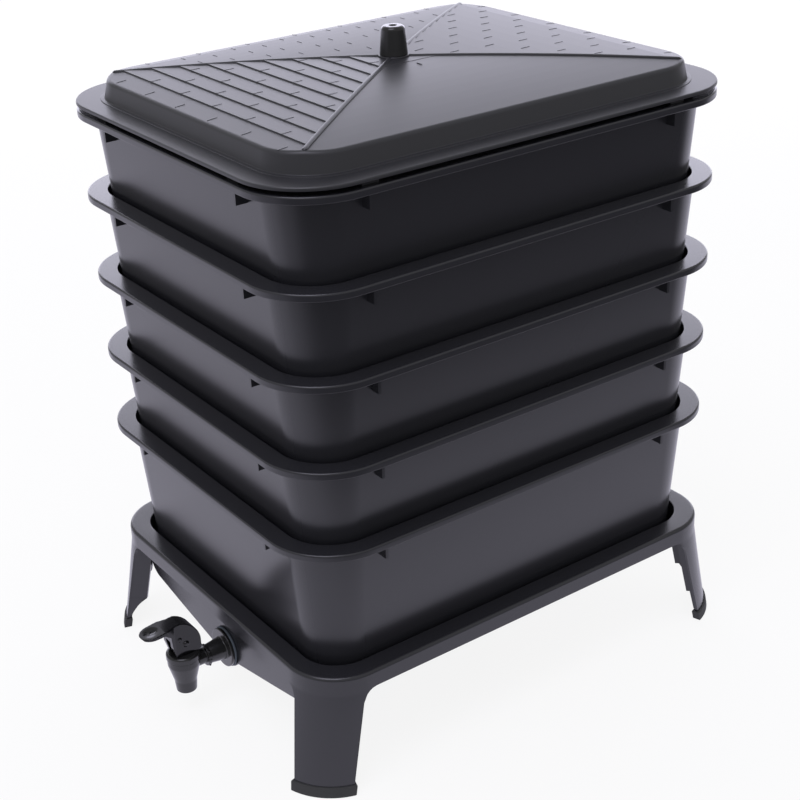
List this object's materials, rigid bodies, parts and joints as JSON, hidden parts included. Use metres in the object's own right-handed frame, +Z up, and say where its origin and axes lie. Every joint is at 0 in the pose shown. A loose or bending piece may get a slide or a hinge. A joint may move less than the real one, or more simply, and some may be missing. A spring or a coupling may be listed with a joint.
{
  "type": "wormery",
  "caption": "Stacking wormery: rectangular trays with holed floors nest on a legged collector base with a lever tap, under a hipped lid with a knob.",
  "frame": {"origin": "Middle of the bounding box on the floor, under the feet.", "axes": "+Z up, the tap faces -X (a short side), a long side faces -Y."},
  "size_m": [0.5114, 0.3666, 0.5513],
  "materials": {
    "tray_plastic": "satin gloss, fine moulded grain",
    "lid_plastic": "satin",
    "base_plastic": "satin gloss",
    "foot_plastic": "matte",
    "knob_plastic": "gloss",
    "tap_plastic": "gloss",
    "stem_plastic": "satin",
    "washer_rubber": "matte",
    "valve_rubber": "matte",
    "steel": "brushed"
  },
  "bodies": {
    "base": {"collector_base": "base_plastic", "foot_front_left": "foot_plastic", "foot_front_right": "foot_plastic", "foot_back_left": "foot_plastic", "foot_back_right": "foot_plastic", "tap_body": "tap_plastic", "tap_outer_washer": "washer_rubber", "tap_inner_washer": "washer_rubber", "tap_nut": "tap_plastic", "tap_bonnet": "tap_plastic", "tap_spring": "steel"},
    "tray_1": {"tray_1": "tray_plastic"},
    "tray_2": {"tray_2": "tray_plastic"},
    "tray_3": {"tray_3": "tray_plastic"},
    "tray_4": {"tray_4": "tray_plastic"},
    "tray_5": {"tray_5": "tray_plastic"},
    "lid": {"lid": "lid_plastic", "lid_knob": "knob_plastic", "lid_knob_screw": "steel"},
    "tap_stem": {"tap_stem": "stem_plastic", "tap_plug": "valve_rubber", "tap_lever_pin": "steel"},
    "tap_lever": {"tap_lever": "tap_plastic"}
  },
  "joints": [
    {"name": "tray_5_lift", "type": "slide", "parent": "base", "child": "tray_5", "axis": [0, 0, 1], "range_m": [0, 0.08]},
    {"name": "tray_4_lift", "type": "slide", "parent": "tray_5", "child": "tray_4", "axis": [0, 0, 1], "range_m": [0, 0.08]},
    {"name": "tray_3_lift", "type": "slide", "parent": "tray_4", "child": "tray_3", "axis": [0, 0, 1], "range_m": [0, 0.08]},
    {"name": "tray_2_lift", "type": "slide", "parent": "tray_3", "child": "tray_2", "axis": [0, 0, 1], "range_m": [0, 0.08]},
    {"name": "tray_1_lift", "type": "slide", "parent": "tray_2", "child": "tray_1", "axis": [0, 0, 1], "range_m": [0, 0.08]},
    {"name": "lid_lift", "type": "slide", "parent": "tray_1", "child": "lid", "axis": [0, 0, 1], "range_m": [0, 0.08]},
    {"name": "tap_stem_lift", "type": "slide", "parent": "base", "child": "tap_stem", "axis": [0, 0, 1], "range_m": [0, 0.0042], "deforming": ["tap_spring"]},
    {"name": "tap_lever_press", "type": "hinge", "parent": "tap_stem", "child": "tap_lever", "pos_m": [-0.21866, 0, 0.072], "axis": [0, -1, 0], "range_deg": [0, 25], "stiffness_Nm_per_rad": 0.2, "springref_deg": -8.59}
  ],
  "couplings": [
    {"joint": "tap_stem_lift", "follows": "tap_lever_press", "m_per_rad": 0.0092}
  ]
}
